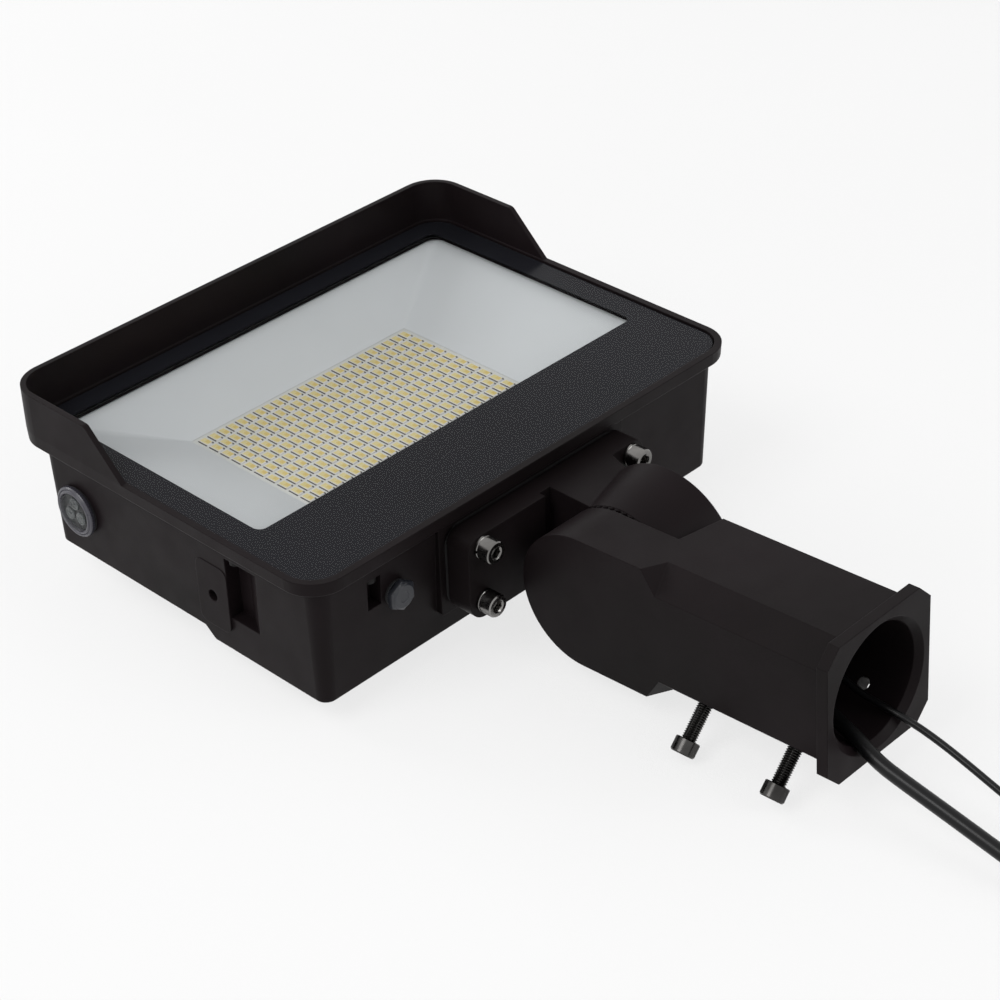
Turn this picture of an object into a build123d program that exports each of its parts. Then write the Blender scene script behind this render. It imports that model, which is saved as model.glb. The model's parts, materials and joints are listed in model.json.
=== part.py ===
from build123d import *
from math import cos, pi, radians, sin, sqrt, tan
import os

os.makedirs("parts", exist_ok=True)

# Flood light on an adjustable slipfitter arm, in millimetres.
# Origin: centre of the slipfitter's mouth. +X runs along the long side of the lamp head,
# +Y from the mouth towards the head, +Z is the way the light shines.

# Arm and pivot
tilt = 3.16                # how far the arm is swung up from straight
reach = 160.6              # pivot axis to the mouth
pivot_to_face = 179.0      # pivot axis to the middle of the face
pivot_drop = 44.4          # pivot axis below the rim of the face

# Face frame and glass
frame_w, frame_d, frame_r = 323.0, 238.6, 21.0
flange_h = 8.2
gap_w, gap_d, gap_r = 315.2, 230.0, 17.0
opening_w, opening_y0, opening_y1, opening_r = 291.0, -105.0, 103.0, 9.0
glass_t, glass_drop, glass_play = 4.0, 1.0, 0.3
bed_t = 0.6
visor_h, visor_t, visor_end_r = 25.1, 3.2, 4.0
visor_foot_y, visor_top_y = 25.4, 51.9

# Housing
side_inset, near_inset, far_inset = 9.0, 7.6, 11.4
draft = 2.0
near_depth, far_depth = 81.4, 74.0
step_top_y, step_foot_y = -17.5, -26.2
corner_r, foot_r = 9.4, 2.0
wall = 7.0
shelf_drop = 31.2
shelf_half, divider_y, divider_t = 100.0, -58.0, 4.0
bay_floor, chamber_floor = 77.4, 69.0
fin_pitch, fin_gap, fin_count = 13.0, 8.5, 15
fin_y0, fin_y1, fin_root = -12.0, 94.0, 36.5

# LED light engine
chip_cols, chip_rows = 24, 10
chip_pitch_x, chip_pitch_y = 6.68, 9.23
chip_x, chip_y, chip_t = 4.6, 7.6, 0.7
led_y = 19.25
board_w, board_d, board_t, pad_t = 186.0, 102.0, 1.6, 0.5
window_x, window_y0, window_y1 = 141.0, -58.4, 100.7
tray_floor_x, tray_floor_y0, tray_floor_y1 = 82.0, -28.0, 67.0
tray_t, tray_top, tray_lip = 1.0, 6.4, 2.0

# Bracket and knuckle
pad_half, pad_y, pad_top, pad_foot = 70.5, -114.0, 9.0, 66.0
bracket_half, bracket_y, bracket_top, bracket_foot = 67.0, -131.8, 13.1, 64.2
plate_top_r, plate_foot_r = 7.5, 11.0
bracket_gasket_t = 2.0
bracket_screw_x, bracket_screw_top, bracket_screw_foot = 57.0, 20.0, 53.4
boss_x0, boss_x1 = -5.2, 36.4
seam_x = -3.4
ear_r, ear_r_wide = 38.6, 46.0
tooth_count, tooth_h, tooth_r0, tooth_r1, tooth_play = 54, 1.2, 25.0, 38.3, 0.2
cable_way_x0, cable_way_x1, cable_way_half = 8.0, 26.0, 15.0

# Slipfitter arm
arm_x, arm_t = 36.6, 38.6
chamfer_x, chamfer_t = 23.65, 25.65
facet_tip_s, facet_edge_s, facet_foot_s, facet_early = 43.5, 50.3, 52.1, 12.0
wall_s0, wall_s1 = 41.1, 48.6
flange_s, mouth_x, mouth_t, mouth_chamfer = 154.2, 40.4, 40.0, 9.0
bore_r, bore_end_s, lead_r, lead_h = 32.6, 60.0, 36.0, 3.5

# Screws
m8_r, m8_tap, m8_head_r, m8_head_h, m8_key = 4.0, 3.4, 6.5, 8.0, 6.0
clamp_s = (77.9, 134.2)
clamp_seat, clamp_len = 63.1, 35.0
thread_play = 0.05
bolt_r, bolt_play, bolt_head_af, bolt_head_h = 6.0, 0.35, 19.0, 7.5
m4_r, m4_head_r, m4_head_h, m4_key = 2.0, 3.5, 3.0, 3.0

# Cords
power_d, dimming_d = 7.8, 3.8
table_z = -60.0

pivot_y = reach * cos(radians(tilt))
pivot_z = -reach * sin(radians(tilt))
face_y = pivot_y + pivot_to_face
rim_z = pivot_z + pivot_drop
along = Vector(0, -cos(radians(tilt)), sin(radians(tilt)))
across = Vector(0, sin(radians(tilt)), cos(radians(tilt)))
pivot = Vector(0, pivot_y, pivot_z)


def below(depth, y=0.0):
    """Plane parallel to the face, a depth under the rim, looking the way the light shines."""
    return Plane((0, face_y + y, rim_z - depth))


def wall_plane(y):
    """Upright plane at y from the middle of the face, looking towards the arm."""
    return Plane((0, face_y + y, rim_z), x_dir=(1, 0, 0), z_dir=(0, -1, 0))


def side_plane(x):
    """Upright plane at x, looking along +X, with Y and Z measured from the middle of the face."""
    return Plane((x, face_y, rim_z), x_dir=(0, 1, 0), z_dir=(1, 0, 0))


def arm_at(s):
    """Plane across the arm, s from the pivot axis, looking out of the mouth."""
    return Plane(pivot + along * s, x_dir=(1, 0, 0), z_dir=along)


def arm_side(x):
    """Plane along the arm at x, looking along -X: its own x runs to the mouth, its y up."""
    return Plane(pivot + Vector(x, 0, 0), x_dir=along, z_dir=(-1, 0, 0))


def arm_point(x, s, t):
    return pivot + Vector(x, 0, 0) + along * s + across * t


def socket_screw(plane, head_r, head_h, shank_r, length, key):
    """Socket head cap screw: the head stands on the plane, the shank goes behind it."""
    with BuildPart(plane) as screw:
        with BuildSketch(plane):
            Circle(head_r)
        extrude(amount=head_h)
        chamfer(screw.edges().filter_by(GeomType.CIRCLE).sort_by(
            lambda edge: (edge.center() - plane.origin).dot(plane.z_dir))[-1], 0.5)
        with BuildSketch(plane.offset(head_h)):
            RegularPolygon(key / sqrt(3), 6)
        extrude(amount=-head_h * 0.55, mode=Mode.SUBTRACT)
        with BuildSketch(plane):
            Circle(shank_r)
        extrude(amount=-length)
    return screw.part


def ring_of_teeth(x, way):
    """Radial teeth on the knuckle face at x, pointing along way (+1 or -1 on X)."""
    def outline(radius):
        half = pi * radius / tooth_count * 0.98
        corners = [(-0.3, -half), (-0.3, half), (0, half), (tooth_h, 0), (0, -half)]
        return Wire.make_polygon([pivot + Vector(x + way * out, y, radius) for out, y in corners], close=True)

    tooth = Solid.make_loft([outline(tooth_r0), outline(tooth_r1)], ruled=True)
    axis = Axis(pivot, (1, 0, 0))
    return [tooth.rotate(axis, 360 / tooth_count * i) for i in range(tooth_count)]


# Face frame: flat rim with a rebate for the glass, and a visor round the far third
opening_d, opening_y = opening_y1 - opening_y0, (opening_y0 + opening_y1) / 2
with BuildPart() as front_frame:
    with BuildSketch(below(flange_h)):
        RectangleRounded(frame_w - 1, frame_d - 1, frame_r - 0.5)
    with BuildSketch(below(0)):
        RectangleRounded(frame_w, frame_d, frame_r)
    loft()
    fillet(front_frame.faces().sort_by(Axis.Z)[0].outer_wire().edges(), 1.2)
    with BuildSketch(below(0)):
        RectangleRounded(frame_w, frame_d, frame_r)
        RectangleRounded(frame_w - 2 * visor_t, frame_d - 2 * visor_t, frame_r - visor_t, mode=Mode.SUBTRACT)
    extrude(amount=visor_h)
    with BuildSketch(side_plane(0)):
        with BuildLine():
            Polyline((-frame_d, 0), (visor_foot_y, 0), (visor_top_y, visor_h),
                     (visor_top_y, visor_h + 5), (-frame_d, visor_h + 5), (-frame_d, 0))
        make_face()
    extrude(amount=frame_w, both=True, mode=Mode.SUBTRACT)
    with BuildSketch(below(0)):
        RectangleRounded(gap_w, gap_d, gap_r)
    extrude(amount=-glass_drop - glass_t - bed_t, mode=Mode.SUBTRACT)
    with BuildSketch(below(0, opening_y)):
        RectangleRounded(opening_w, opening_d, opening_r)
    extrude(amount=-flange_h, mode=Mode.SUBTRACT)
    # The visor's two free ends are rounded off at the top
    visor_ends = front_frame.edges().filter_by(Axis.X).group_by(Axis.Z)[-1].sort_by(Axis.Y)[:2]
    fillet(visor_ends, visor_end_r)
front_frame.part.label = "front_frame"
export_step(front_frame.part, "parts/front_frame.step")

# Tempered glass, its outside a little under the rim
with BuildPart() as glass:
    with BuildSketch(below(glass_drop)):
        RectangleRounded(gap_w - 2 * glass_play, gap_d - 2 * glass_play, gap_r - glass_play)
    extrude(amount=-glass_t)
    chamfer(glass.faces().sort_by(Axis.Z)[-1].edges(), 0.6)
glass.part.label = "glass"
export_step(glass.part, "parts/glass.step")

# Silicone bed that holds the glass in the frame
with BuildPart() as glass_seal:
    with BuildSketch(below(glass_drop + glass_t)):
        RectangleRounded(gap_w - 2 * glass_play, gap_d - 2 * glass_play, gap_r - glass_play)
        with Locations((0, opening_y)):
            RectangleRounded(opening_w + 2, opening_d + 2, opening_r + 1, mode=Mode.SUBTRACT)
    extrude(amount=-bed_t)
glass_seal.part.label = "glass_seal"
export_step(glass_seal.part, "parts/glass_seal.step")

# Housing: tapered die-cast box with a shelf for the light engine, a bay for the driver,
# fins under the shelf, screw pockets in the walls and a raised pad for the bracket
taper = tan(radians(draft))
top_w = frame_w - 2 * side_inset
near_wall_y = -frame_d / 2 + near_inset
far_wall_y = frame_d / 2 - far_inset
gasket_w, gasket_t = 3.0, 1.5
pocket_top, side_pocket_foot, near_pocket_foot = 19.5, 57.8, 37.5
side_pocket_in, near_pocket_in = 9.8, 9.5
side_pocket_y0, side_pocket_flat_y, side_pocket_y1 = -66.0, -49.7, -41.2
near_pocket_x0, near_pocket_x1 = 109.3, 118.5
block_top, block_wall = 14.0, 3.5
frame_screw_side = (top_w / 2 - 4.6, -45.7)
frame_screw_x, frame_screw_in = 113.9, 4.2
side_hole_y, side_hole_z, side_hole_len, side_pad_t = -29.2, -48.6, 14.0, 1.0
cell_y, cell_z, cell_stem_r = 80.8, -44.8, 10.5
vent_x, vent_z, vent_stem_r = -99.4, -35.5, 6.0
cable_z, gland_r = -42.0, 10.0


def wall_outline(depth, inset=0.0):
    """Outline of the housing's outer wall at a depth under the rim."""
    inward = inset + (depth - flange_h) * taper
    width = top_w - 2 * inward
    length = far_wall_y - near_wall_y - 2 * inward
    with BuildSketch(below(depth, (far_wall_y + near_wall_y) / 2)) as outline:
        RectangleRounded(width, length, corner_r - min(inward, 10))
    return outline.sketch


def pocket_prism(corners, top, foot):
    """Upright block between two depths, from corners given in the face's own X and Y."""
    with BuildPart() as prism:
        with BuildSketch(below(top)):
            with BuildLine():
                Polyline(*corners, close=True)
            make_face()
        extrude(amount=top - foot)
    return prism.part


def mirrored(shape):
    return shape.mirror(Plane.YZ)


def box_prism(x0, x1, y0, y1, top, foot):
    return pocket_prism([(x0, y0), (x1, y0), (x1, y1), (x0, y1)], top, foot)


side_x = top_w / 2
side_block = box_prism(-side_x + 4, -side_x + side_pocket_in + block_wall, side_pocket_y0 - 4,
                       side_pocket_y1 + block_wall, block_top, side_pocket_foot + block_wall)
side_pocket = pocket_prism([(-side_x - 1, side_pocket_y1), (-side_x + side_pocket_in, side_pocket_y1),
                            (-side_x + side_pocket_in, side_pocket_flat_y), (-side_x, side_pocket_y0),
                            (-side_x - 1, side_pocket_y0)], pocket_top, side_pocket_foot)


def end_block(sign_x, wall_y, inward):
    """Block behind a pocket of the near or far wall."""
    xs = sorted(sign_x * x for x in (near_pocket_x0 - block_wall, near_pocket_x1 + block_wall))
    ys = sorted(wall_y + inward * y for y in (4, near_pocket_in + block_wall))
    return box_prism(*xs, *ys, block_top, near_pocket_foot + block_wall)


def end_pocket(sign_x, wall_y, inward):
    """Pocket of the near or far wall, with its outer side slanted."""
    corners = [(near_pocket_x1, -1), (near_pocket_x1, 2), (near_pocket_x1 - 3, near_pocket_in),
               (near_pocket_x0, near_pocket_in), (near_pocket_x0, -1)]
    return pocket_prism([(sign_x * x, wall_y + inward * y) for x, y in corners], pocket_top, near_pocket_foot)


ends = [(-1, near_wall_y, 1), (1, far_wall_y, -1)]

with BuildPart() as housing:
    add(wall_outline(flange_h))
    add(wall_outline(near_depth))
    loft()
    fillet(housing.faces().sort_by(Axis.Z)[0].edges(), foot_r)
    # The far part of the back is shallower, with a slanted step
    with BuildSketch(side_plane(0)):
        with BuildLine():
            Polyline((step_top_y, -far_depth), (step_foot_y, -near_depth), (step_foot_y, -near_depth - 5),
                     (frame_d, -near_depth - 5), (frame_d, -far_depth), close=True)
        make_face()
    extrude(amount=frame_w, both=True, mode=Mode.SUBTRACT)
    # Light bay down to the shelf, then the driver bay and the two end chambers
    inner_w = top_w - 2 * wall
    inner_y0, inner_y1 = near_wall_y + wall, far_wall_y - wall
    with BuildSketch(below(flange_h, (inner_y0 + inner_y1) / 2)):
        RectangleRounded(inner_w, inner_y1 - inner_y0, corner_r - wall)
    extrude(amount=flange_h - shelf_drop, mode=Mode.SUBTRACT)
    with BuildSketch(below(shelf_drop, (inner_y0 + divider_y) / 2)):
        RectangleRounded(inner_w - 6, divider_y - inner_y0, 5)
    extrude(amount=shelf_drop - bay_floor, mode=Mode.SUBTRACT)
    chamber_y0, chamber_y1 = divider_y + divider_t, inner_y1 - 2
    chamber_w = inner_w / 2 - 2 - shelf_half
    with BuildSketch(below(shelf_drop, (chamber_y0 + chamber_y1) / 2)):
        with Locations((-shelf_half - chamber_w / 2, 0), (shelf_half + chamber_w / 2, 0)):
            RectangleRounded(chamber_w, chamber_y1 - chamber_y0, 5)
    extrude(amount=shelf_drop - chamber_floor, mode=Mode.SUBTRACT)
    # Gaps between the cooling fins, open to the back
    with BuildSketch(below(far_depth, (fin_y0 + fin_y1) / 2)):
        with GridLocations(fin_pitch, 1, fin_count, 1):
            RectangleRounded(fin_gap, fin_y1 - fin_y0, 2)
    extrude(amount=far_depth - fin_root, mode=Mode.SUBTRACT)
    # Screw pockets: one in each side wall, one near and one far
    add([side_block, mirrored(side_block)] + [end_block(*end) for end in ends])
    add([side_pocket, mirrored(side_pocket)] + [end_pocket(*end) for end in ends], mode=Mode.SUBTRACT)
    screw_spots = [(sign * frame_screw_side[0], frame_screw_side[1]) for sign in (-1, 1)]
    screw_spots += [(sign * frame_screw_x, wall_y + inward * frame_screw_in) for sign, wall_y, inward in ends]
    with BuildSketch(below(flange_h)):
        with Locations(*screw_spots):
            Circle(m4_r + 0.25)
    extrude(amount=flange_h - pocket_top - 1, mode=Mode.SUBTRACT)
    # Raised pad for the bracket, bosses behind it, screw holes and the cable hole
    with BuildSketch(wall_plane(near_wall_y + 4)):
        with Locations((0, -(pad_top + pad_foot) / 2)):
            RectangleRounded(2 * pad_half, pad_foot - pad_top, 2)
    extrude(amount=near_wall_y + 4 - pad_y)
    bracket_screws_at = [(sx * bracket_screw_x, -z) for sx in (-1, 1)
                         for z in (bracket_screw_top, bracket_screw_foot)]
    with BuildSketch(wall_plane(near_wall_y + 17)):
        with Locations(*bracket_screws_at):
            Circle(8)
    extrude(amount=15)
    with BuildSketch(wall_plane(pad_y)):
        with Locations(*bracket_screws_at):
            Circle(m8_r)
    extrude(amount=-18, mode=Mode.SUBTRACT)
    with BuildSketch(wall_plane(pad_y)):
        with Locations((0, cable_z)):
            Circle(gland_r)
    extrude(amount=-20, mode=Mode.SUBTRACT)
    with BuildSketch(wall_plane(pad_y)):
        with Locations((vent_x, vent_z)):
            Circle(vent_stem_r)
    extrude(amount=-25, mode=Mode.SUBTRACT)
    # Side pads with a threaded hole each, and the hole for the light sensor
    side_wall_x = side_x - (-side_hole_z - flange_h) * taper
    for sign in (-1, 1):
        with BuildSketch(side_plane(sign * (side_wall_x + side_pad_t))):
            with Locations((side_hole_y, side_hole_z)):
                RectangleRounded(24, 40, 5)
        extrude(amount=-sign * 8)
        with BuildSketch(side_plane(sign * (side_wall_x + side_pad_t))):
            with Locations((side_hole_y, side_hole_z)):
                Circle(10)
        extrude(amount=-sign * (side_hole_len + 4))
        with BuildSketch(side_plane(sign * (side_wall_x + side_pad_t))):
            with Locations((side_hole_y, side_hole_z)):
                Circle(m8_tap)
        extrude(amount=-sign * side_hole_len, mode=Mode.SUBTRACT)
    with BuildSketch(side_plane(-side_x - 1)):
        with Locations((cell_y, cell_z)):
            Circle(cell_stem_r)
    extrude(amount=20, mode=Mode.SUBTRACT)
    # Groove for the seal under the frame
    with BuildSketch(below(flange_h, (far_wall_y + near_wall_y) / 2)):
        groove_w, groove_d = top_w - 4, far_wall_y - near_wall_y - 4
        RectangleRounded(groove_w, groove_d, corner_r - 2)
        RectangleRounded(groove_w - 2 * gasket_w, groove_d - 2 * gasket_w, corner_r - 2 - gasket_w,
                         mode=Mode.SUBTRACT)
    extrude(amount=-gasket_t, mode=Mode.SUBTRACT)
housing.part.label = "housing"
export_step(housing.part, "parts/housing.step")

# Seal that lies in the housing's groove
with BuildPart() as frame_gasket:
    with BuildSketch(below(flange_h, (far_wall_y + near_wall_y) / 2)):
        RectangleRounded(groove_w, groove_d, corner_r - 2)
        RectangleRounded(groove_w - 2 * gasket_w, groove_d - 2 * gasket_w, corner_r - 2 - gasket_w,
                         mode=Mode.SUBTRACT)
    extrude(amount=-gasket_t)
    with BuildSketch(below(flange_h)):
        with Locations(*screw_spots):
            Circle(m4_r + 0.25)
    extrude(amount=-gasket_t, mode=Mode.SUBTRACT)
frame_gasket.part.label = "frame_gasket"
export_step(frame_gasket.part, "parts/frame_gasket.step")

# Frame screws: heads in the wall pockets, shanks up through the wall to the frame
frame_screw_len = pocket_top - flange_h
with BuildPart() as frame_screws:
    with BuildSketch(below(pocket_top)):
        with Locations(*screw_spots):
            Circle(m4_r)
    extrude(amount=frame_screw_len)
    with BuildSketch(below(pocket_top)):
        with Locations(*screw_spots):
            Circle(m4_head_r)
    extrude(amount=-m4_head_h)
    with BuildSketch(below(pocket_top + m4_head_h)):
        with Locations(*screw_spots):
            RegularPolygon(m4_key / sqrt(3), 6)
    extrude(amount=m4_head_h * 0.6, mode=Mode.SUBTRACT)
frame_screws.part.label = "frame_screws"
export_step(frame_screws.part, "parts/frame_screws.step")

# Thermal pad, circuit board and the grid of light-emitting chips
pad_z = shelf_drop
board_z = shelf_drop - pad_t
chip_z = board_z - board_t
board_y = (tray_floor_y0 + tray_floor_y1) / 2
board_screw_x, board_screw_y = board_w / 2 - 3.5, 42.0
board_screws_at = [(sx * board_screw_x, y) for sx in (-1, 1) for y in (-board_screw_y, 0, board_screw_y)]
with BuildPart() as thermal_pad:
    with BuildSketch(below(pad_z, board_y)):
        Rectangle(board_w, board_d)
        with Locations(*board_screws_at):
            Circle(1.7, mode=Mode.SUBTRACT)
    extrude(amount=pad_t)
thermal_pad.part.label = "thermal_pad"
export_step(thermal_pad.part, "parts/thermal_pad.step")

with BuildPart() as led_board:
    with BuildSketch(below(board_z, board_y)):
        Rectangle(board_w, board_d)
        with Locations(*board_screws_at):
            Circle(1.7, mode=Mode.SUBTRACT)
    extrude(amount=board_t)
led_board.part.label = "led_board"
export_step(led_board.part, "parts/led_board.step")

with BuildPart() as led_chips:
    with BuildSketch(below(chip_z, led_y)):
        with GridLocations(chip_pitch_x, chip_pitch_y, chip_cols, chip_rows):
            Rectangle(chip_x, chip_y)
    extrude(amount=chip_t)
led_chips.part.label = "led_chips"
export_step(led_chips.part, "parts/led_chips.step")

board_screw_len, board_screw_head = 5.0, 1.2
with BuildPart() as board_screws:
    with BuildSketch(below(chip_z, board_y)):
        with Locations(*board_screws_at):
            Circle(1.5)
    extrude(amount=-board_t - pad_t)
    with BuildSketch(below(chip_z, board_y)):
        with Locations(*board_screws_at):
            Circle(2.7)
    extrude(amount=board_screw_head)
board_screws.part.label = "board_screws"
export_step(board_screws.part, "parts/board_screws.step")

# White reflector tray: four slanted walls from the board up to the edge of the window
tray_y = (window_y0 + window_y1) / 2
tray_foot = chip_z - 0.2


def tray_outline(depth, x, y0, y1, r):
    with BuildSketch(below(depth, (y0 + y1) / 2)) as outline:
        RectangleRounded(2 * x, y1 - y0, r)
    return outline.sketch


top_x, top_y0, top_y1 = window_x + tray_lip, window_y0 - tray_lip, window_y1 + 1.0
with BuildPart() as reflector:
    add(tray_outline(tray_foot, tray_floor_x + tray_t, tray_floor_y0 - tray_t, tray_floor_y1 + tray_t, 2))
    add(tray_outline(tray_top, top_x + tray_t, top_y0 - tray_t, top_y1 + tray_t, 7))
    loft()
    with BuildSketch(below(tray_top)):
        with Locations((0, (top_y0 + top_y1 - 3) / 2)):
            RectangleRounded(2 * top_x + 4, top_y1 - top_y0 + 5, 8)
    extrude(amount=-tray_t)
with BuildPart() as tray_hollow:
    add(tray_outline(tray_foot, tray_floor_x, tray_floor_y0, tray_floor_y1, 1))
    add(tray_outline(tray_top, top_x, top_y0, top_y1, 6))
    loft()
reflector.part = reflector.part - tray_hollow.part
reflector.part.label = "reflector"
export_step(reflector.part, "parts/reflector.step")

# Driver, standing on the floor of its bay
driver_w, driver_d, driver_h = 176.0, 33.0, 56.0
driver_y = -77.4
with BuildPart() as driver_case:
    with BuildSketch(below(bay_floor, driver_y)):
        RectangleRounded(driver_w, driver_d, 3)
    extrude(amount=driver_h)
    chamfer(driver_case.faces().sort_by(Axis.Z)[-1].edges(), 1.5)
    with BuildSketch(below(bay_floor, driver_y)):
        with Locations((-driver_w / 2 - 6, 0), (driver_w / 2 + 6, 0)):
            RectangleRounded(16, 16, 3)
    extrude(amount=3)
    with BuildSketch(below(bay_floor, driver_y)):
        with Locations((-driver_w / 2 - 8, 0), (driver_w / 2 + 8, 0)):
            Circle(2.25)
    extrude(amount=3, mode=Mode.SUBTRACT)
driver_case.part.label = "driver_case"
export_step(driver_case.part, "parts/driver_case.step")

with BuildPart() as driver_screws:
    with BuildSketch(below(bay_floor - 3, driver_y)):
        with Locations((-driver_w / 2 - 8, 0), (driver_w / 2 + 8, 0)):
            Circle(2)
    extrude(amount=-3)
    with BuildSketch(below(bay_floor - 3, driver_y)):
        with Locations((-driver_w / 2 - 8, 0), (driver_w / 2 + 8, 0)):
            Circle(3.5)
    extrude(amount=2.4)
driver_screws.part.label = "driver_screws"
export_step(driver_screws.part, "parts/driver_screws.step")

# Light sensor in the left wall: threaded stem, knurled collar, clear lens, seal and nut
cell_wall_x = -side_x + (-cell_z - flange_h) * taper
collar_r, collar_h, cell_seal_t, cell_stem_len = 15.0, 3.2, 1.5, 24.0
lens_r, lens_h, lens_seat = 11.0, 2.0, 2.4
knurls = 30
cell_face = Plane((cell_wall_x - cell_seal_t, face_y + cell_y, rim_z + cell_z), x_dir=(0, -1, 0), z_dir=(-1, 0, 0))
with BuildPart() as sensor_seal:
    with BuildSketch(cell_face):
        Circle(collar_r - 1)
        Circle(cell_stem_r - 0.3, mode=Mode.SUBTRACT)
    extrude(amount=-cell_seal_t - 0.4)
    add(housing.part, mode=Mode.SUBTRACT)
sensor_seal.part.label = "sensor_seal"
export_step(sensor_seal.part, "parts/sensor_seal.step")

with BuildPart() as sensor_body:
    with BuildSketch(cell_face):
        Circle(collar_r)
        with PolarLocations(collar_r, knurls):
            Circle(0.7, mode=Mode.SUBTRACT)
    extrude(amount=collar_h)
    with BuildSketch(cell_face):
        Circle(cell_stem_r - 0.3)
    extrude(amount=-cell_stem_len)
    with BuildSketch(cell_face.offset(collar_h)):
        Circle(lens_r)
    extrude(amount=-lens_seat, mode=Mode.SUBTRACT)
sensor_body.part.label = "sensor_body"
export_step(sensor_body.part, "parts/sensor_body.step")

with BuildPart() as sensor_lens:
    with BuildSketch(cell_face.offset(collar_h - lens_seat)):
        Circle(lens_r)
    extrude(amount=lens_seat)
    with BuildSketch(cell_face.offset(collar_h)):
        Circle(lens_r)
    extrude(amount=lens_h, taper=35)
sensor_lens.part.label = "sensor_lens"
export_step(sensor_lens.part, "parts/sensor_lens.step")

with BuildPart() as sensor_nut:
    with BuildSketch(cell_face.offset(-cell_seal_t - 9.5)):
        RegularPolygon(15, 6)
        Circle(cell_stem_r - 0.3, mode=Mode.SUBTRACT)
    extrude(amount=-4)
sensor_nut.part.label = "sensor_nut"
export_step(sensor_nut.part, "parts/sensor_nut.step")

# Vent plug in the near wall, with its seal
vent_wall_y = near_wall_y + (-vent_z - flange_h) * taper
vent_af, vent_head_h, vent_cap_h, vent_seal_t = 15.5, 4.3, 1.2, 1.5
vent_plane = Plane((vent_x, face_y + vent_wall_y - vent_seal_t, rim_z + vent_z), x_dir=(1, 0, 0), z_dir=(0, -1, 0))
with BuildPart() as vent_seal:
    with BuildSketch(vent_plane):
        Circle(7.3)
        Circle(vent_stem_r, mode=Mode.SUBTRACT)
    extrude(amount=-vent_seal_t - 0.3)
    add(housing.part, mode=Mode.SUBTRACT)
vent_seal.part.label = "vent_seal"
export_step(vent_seal.part, "parts/vent_seal.step")

with BuildPart() as vent_plug:
    with BuildSketch(vent_plane):
        RegularPolygon(vent_af / sqrt(3), 6)
    extrude(amount=vent_head_h)
    with BuildSketch(vent_plane.offset(vent_head_h)):
        Circle(vent_af / 2 - 0.2)
    extrude(amount=vent_cap_h, taper=30)
    with BuildSketch(vent_plane):
        Circle(vent_stem_r)
    extrude(amount=-12)
vent_plug.part.label = "vent_plug"
export_step(vent_plug.part, "parts/vent_plug.step")

# Cable gland in the wall behind the bracket
with BuildPart() as cable_gland:
    gland_plane = Plane((0, face_y + pad_y, rim_z + cable_z), x_dir=(1, 0, 0), z_dir=(0, -1, 0))
    with BuildSketch(gland_plane):
        Circle(gland_r)
    extrude(amount=-14)
    with BuildSketch(gland_plane):
        RegularPolygon(13, 6)
    extrude(amount=6)
    with BuildSketch(gland_plane.offset(6)):
        Circle(9)
    extrude(amount=4)
    with BuildSketch(gland_plane.offset(10)):
        with Locations((-3, 0)):
            Circle(power_d / 2)
        with Locations((4.5, 0)):
            Circle(dimming_d / 2)
    extrude(amount=-24, mode=Mode.SUBTRACT)
cable_gland.part.label = "cable_gland"
export_step(cable_gland.part, "parts/cable_gland.step")

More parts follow.
